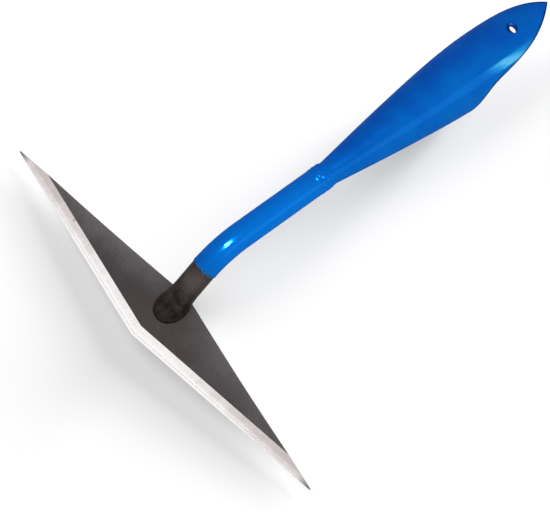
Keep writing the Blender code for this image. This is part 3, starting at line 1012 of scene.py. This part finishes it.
def build_socket():
    """Rolled sheet with a swept mouth, a pointed tongue, a seam and a screw hole."""
    columns = [(-angle, end) for angle, end in reversed(edge[1:])] + edge
    points, faces = socket_grid(columns)
    piece = new_piece("handle_socket", points, faces, axis_frame, coat, "socket")
    darken(piece, near_edge(points, faces))
    first = piece.data.polygons[0]
    if first.normal.dot(Vector((first.center.x, first.center.y, 0))) < 0:
        piece.data.flip_normals()
    wall = piece.modifiers.new("sheet_thickness", "SOLIDIFY")
    wall.thickness = SHEET
    wall.offset = -1
    wall.use_even_offset = True
    wall.material_offset_rim = 1
    add_bevel(piece, "coated_edges", 0.34 * MM, 3, 50.0).material = 1


build_socket()

# %% [markdown]
# Dip enamel also gathers in a small hole and leaves a cone there that narrows it below. Below its outer
# rim the cone takes the dark mix, painted shade inside the hole. This ring is turned on the hole's axis and
# follows the round of the tongue, so it sits flush in the hole. Its opening is squeezed along the tongue
# and lies off the middle, as the enamel ran.

# %% Enamel in the screw hole
CONE_PROFILE = [
    (3.16, 0.10), (3.02, 0.05), (2.86, 0.12), (2.50, 0.42), (2.20, 0.80),
    (1.96, 1.20), (1.92, 1.34), (2.10, 1.45), (3.16, 1.36),
]
CONE_RIM = 3.0
CONE_RUN = 0.9
CONE_SQUEEZE = 0.54
CONE_ASIDE = 0.80
CONE_ONWARD = 0.25
LIGHT_CONE_RINGS = 2


def build_hole_ring():
    """Cone of gathered enamel in the screw hole."""
    crown = tube_radius(HOLE_STATION)
    points = []
    for radius, depth in CONE_PROFILE:
        inward = min(1.0, max(0.0, (CONE_RIM - radius) / CONE_RUN))
        narrow = 1 - CONE_SQUEEZE * inward
        for angle in turns:
            aside = (radius * math.sin(angle) + CONE_ASIDE * inward) * MM
            onward = (narrow * radius * math.cos(angle) + CONE_ONWARD * inward) * MM
            sag = aside * aside / (2 * crown)
            points.append((aside, -crown + sag + depth * MM, HOLE_STATION + onward))
    faces = ring_faces(len(CONE_PROFILE), BAR_ROUND, join=True)
    piece = new_piece("enamel_in_hole", points, faces, axis_frame, coat, "socket")
    darken(piece, range(LIGHT_CONE_RINGS * BAR_ROUND, len(faces)))


build_hole_ring()

# %% [markdown]
# ## Floor and surroundings
# The photograph is a product shot on white. A white floor would throw too much light back at the head, so
# this one is grey, and only rays that look at it see it lifted to white. The world works the same way: it
# is white to the camera and in reflections, and lights the head only softly.

# %% Floor and world
FLOOR_GREY = (0.30, 0.30, 0.30, 1.0)
FLOOR_LIFT = 0.435
FLOOR_HALF = 4.0
FLOOR_DROP = 0.02 * MM
WORLD_GLOW = 0.22
WHITE = (1.0, 1.0, 1.0, 1.0)


def seen_rays(start):
    """1 for rays that the camera, a reflection or glass looks along, and 0 for light that only falls."""
    camera_ray = start.node("ShaderNodeLightPath")
    mirrored = camera_ray.output("Is Glossy Ray") + camera_ray.output("Is Transmission Ray")
    return start.maths("MINIMUM", camera_ray + mirrored, 1.0)


def build_floor():
    """Plain pale floor, lighter where it is seen than it is lit."""
    material, start = new_finish("white_floor")
    matt = start.node("ShaderNodeBsdfDiffuse", {}, {"Color": FLOOR_GREY})
    lift = start.node("ShaderNodeEmission", {}, {"Color": WHITE, "Strength": FLOOR_LIFT})
    seen = start.node("ShaderNodeAddShader", {}, {0: matt, 1: lift})
    shader = start.node("ShaderNodeMixShader", {}, {0: seen_rays(start), 1: matt, 2: seen})
    start.node("ShaderNodeOutputMaterial", {}, {"Surface": shader})
    mesh = bpy.data.meshes.new("floor")
    corners = [(-1, -1), (1, -1), (1, 1), (-1, 1)]
    mesh.from_pydata([(FLOOR_HALF * x, FLOOR_HALF * y, 0) for x, y in corners], [], [(0, 1, 2, 3)])
    mesh.materials.append(material)
    made = put_in_scene("floor", mesh)
    made.location.z = -FLOOR_DROP
    return made


def build_world():
    """Soft light from all round, seen as white by the camera and in reflections."""
    world = bpy.data.worlds.new("soft_room")
    bpy.context.scene.world = world
    world.use_nodes = True
    world.node_tree.nodes.clear()
    start = Wire(world.node_tree)
    strength = WORLD_GLOW + (1 - WORLD_GLOW) * seen_rays(start)
    sky = start.node("ShaderNodeBackground", {}, {"Color": WHITE, "Strength": strength})
    start.node("ShaderNodeOutputWorld", {}, {"Surface": sky})


floor = build_floor()
build_world()
print("floor and world ready")

# %% [markdown]
# ## Lamps
# The photograph's pale shadow falls towards the viewer as if from lights low beyond the socket, yet the
# tool itself is lit from above and from the right. One set of lamps can't do both. Light linking lets each
# lamp light only some of the things, so this lesson uses two kinds: distant lamps, which light a floor
# evenly out to its edge, and soft lamps near the head, seen either by matt surfaces or in reflections.

# %% Two kinds of lamp
def soft_light(name, way, across, distance, size, level, gloss, tint=(1.0, 1.0, 1.0)):
    """Area light that looks back at the head, with its brightness given at the head, where 1 is plain."""
    data = bpy.data.lights.new(name, "AREA")
    data.shape = "RECTANGLE"
    data.size, data.size_y = size
    data.energy = level * math.pi ** 2 * distance ** 2
    data.color = tint
    lamp = put_in_scene(name, data)
    way = Vector(way).normalized()
    upward = way.cross(Vector(across)).normalized()
    turn = Matrix((upward.cross(way), upward, way)).transposed().to_4x4()
    lamp.matrix_world = Matrix.Translation(way * distance) @ turn
    lamp.visible_glossy = gloss
    lamp.visible_diffuse = not gloss
    return lamp


def floor_sun(name, way, spread, level):
    """Distant lamp, so that the floor is lit evenly out to its edge."""
    data = bpy.data.lights.new(name, "SUN")
    data.angle = math.radians(spread)
    way = Vector(way).normalized()
    data.energy = level * math.pi / way.z
    lamp = put_in_scene(name, data)
    lamp.rotation_mode = "QUATERNION"
    lamp.rotation_quaternion = way.to_track_quat("Z", "Y")
    lamp.location = way
    lamp.visible_glossy = False
    return lamp


def light_only(lamps, name, things):
    """Link lamps to the things that they may light."""
    group = bpy.data.collections.new(name)
    for thing in things:
        group.objects.link(thing)
    for lamp in lamps:
        lamp.light_linking.receiver_collection = group


print("lamp helpers ready")

# %% [markdown]
# Four distant lamps light the floor alone and draw the shadow. A wide lamp above lights every piece. From
# the right, one wide lamp lights the steel, and a second in the same place, with less blue in it, lights
# the enamel. Three small ones are seen only as highlights on the enamel: the bright spot on the bend, the
# pale band along the bar and the streak on the socket.

# %% Lamps
ALONG_X = (1, 0, 0)
ALONG_Y = (0, 1, 0)
WIDE_RIGHT = ((0.82, 0.22, 0.53), ALONG_Y, 1.6, (1.9, 0.9), 0.38, False)
COAT_TINT = (1.0, 1.02, 0.68)
STREAK_TINT = (0.90, 0.72, 0.16)
floor_lights = [
    floor_sun("floor_low", (0.0, 0.990, 0.139), 18.0, 0.34),
    floor_sun("floor_low_right", (0.240, 0.961, 0.139), 14.0, 0.18),
    floor_sun("floor_middle", (0.0, 0.940, 0.342), 24.0, 0.70),
    floor_sun("floor_left", (-0.707, 0.0, 0.707), 44.0, 0.60),
]
above_light = soft_light("wide_above", (0.10, -0.20, 0.97), ALONG_X, 1.4, (1.1, 1.1), 0.34, False)
steel_light = soft_light("wide_right", *WIDE_RIGHT)
coat_lights = [
    soft_light("coat_right", *WIDE_RIGHT, COAT_TINT),
    soft_light("bend_spot", (0.185, -0.145, 0.97), ALONG_X, 1.1, (0.44, 0.17), 4.5, True),
    soft_light("right_band", (0.87, 0.18, 0.45), ALONG_Y, 1.6, (1.3, 0.80), 0.13, True),
    soft_light("socket_streak", (0.815, 0.467, 0.344), ALONG_Y, 1.2, (0.050, 0.56), 0.30, True, STREAK_TINT),
]
blue_pieces = [piece for piece in dressed if piece.data.materials[0] == coat]
steel_pieces = [piece for piece in dressed if piece not in blue_pieces]
light_only(floor_lights, "lit_by_floor_lights", [floor])
light_only([above_light], "lit_by_wide_above", dressed)
light_only([steel_light], "lit_by_wide_right", steel_pieces)
light_only(coat_lights, "lit_by_coat_lights", blue_pieces)
print("lamps:", len(floor_lights), "for the floor and", 2 + len(coat_lights), "for the pieces")

# %% [markdown]
# ## Camera
# The camera was fitted to the photograph: it stands over a metre away, 67 degrees above the table and on
# the blade's right, and it is rolled a little. Its three axes go straight into a matrix.

# %% Camera
CAMERA_LENS = 167.5
CAMERA_PLACE = (0.37913, -0.29460, 1.06325)
CAMERA_RIGHT = Vector((0.62841, 0.77696, -0.03795))
CAMERA_UPWARD = Vector((-0.70902, 0.59217, 0.38293))
CAMERA_BACK = Vector((0.32000, -0.21372, 0.92299))


def build_camera():
    """Camera at the photograph's angle."""
    data = bpy.data.cameras.new("photo_camera")
    data.sensor_width = 36.0
    data.sensor_fit = "HORIZONTAL"
    data.lens = CAMERA_LENS
    data.clip_start = 0.05
    data.clip_end = 50.0
    camera = put_in_scene("photo_camera", data)
    turn = Matrix((CAMERA_RIGHT, CAMERA_UPWARD, CAMERA_BACK)).transposed().to_4x4()
    camera.matrix_world = Matrix.Translation(CAMERA_PLACE) @ turn
    bpy.context.scene.camera = camera


build_camera()
bpy.context.scene.view_settings.view_transform = "Standard"
print("camera is", round(Vector(CAMERA_PLACE).length, 2), "m from the head")
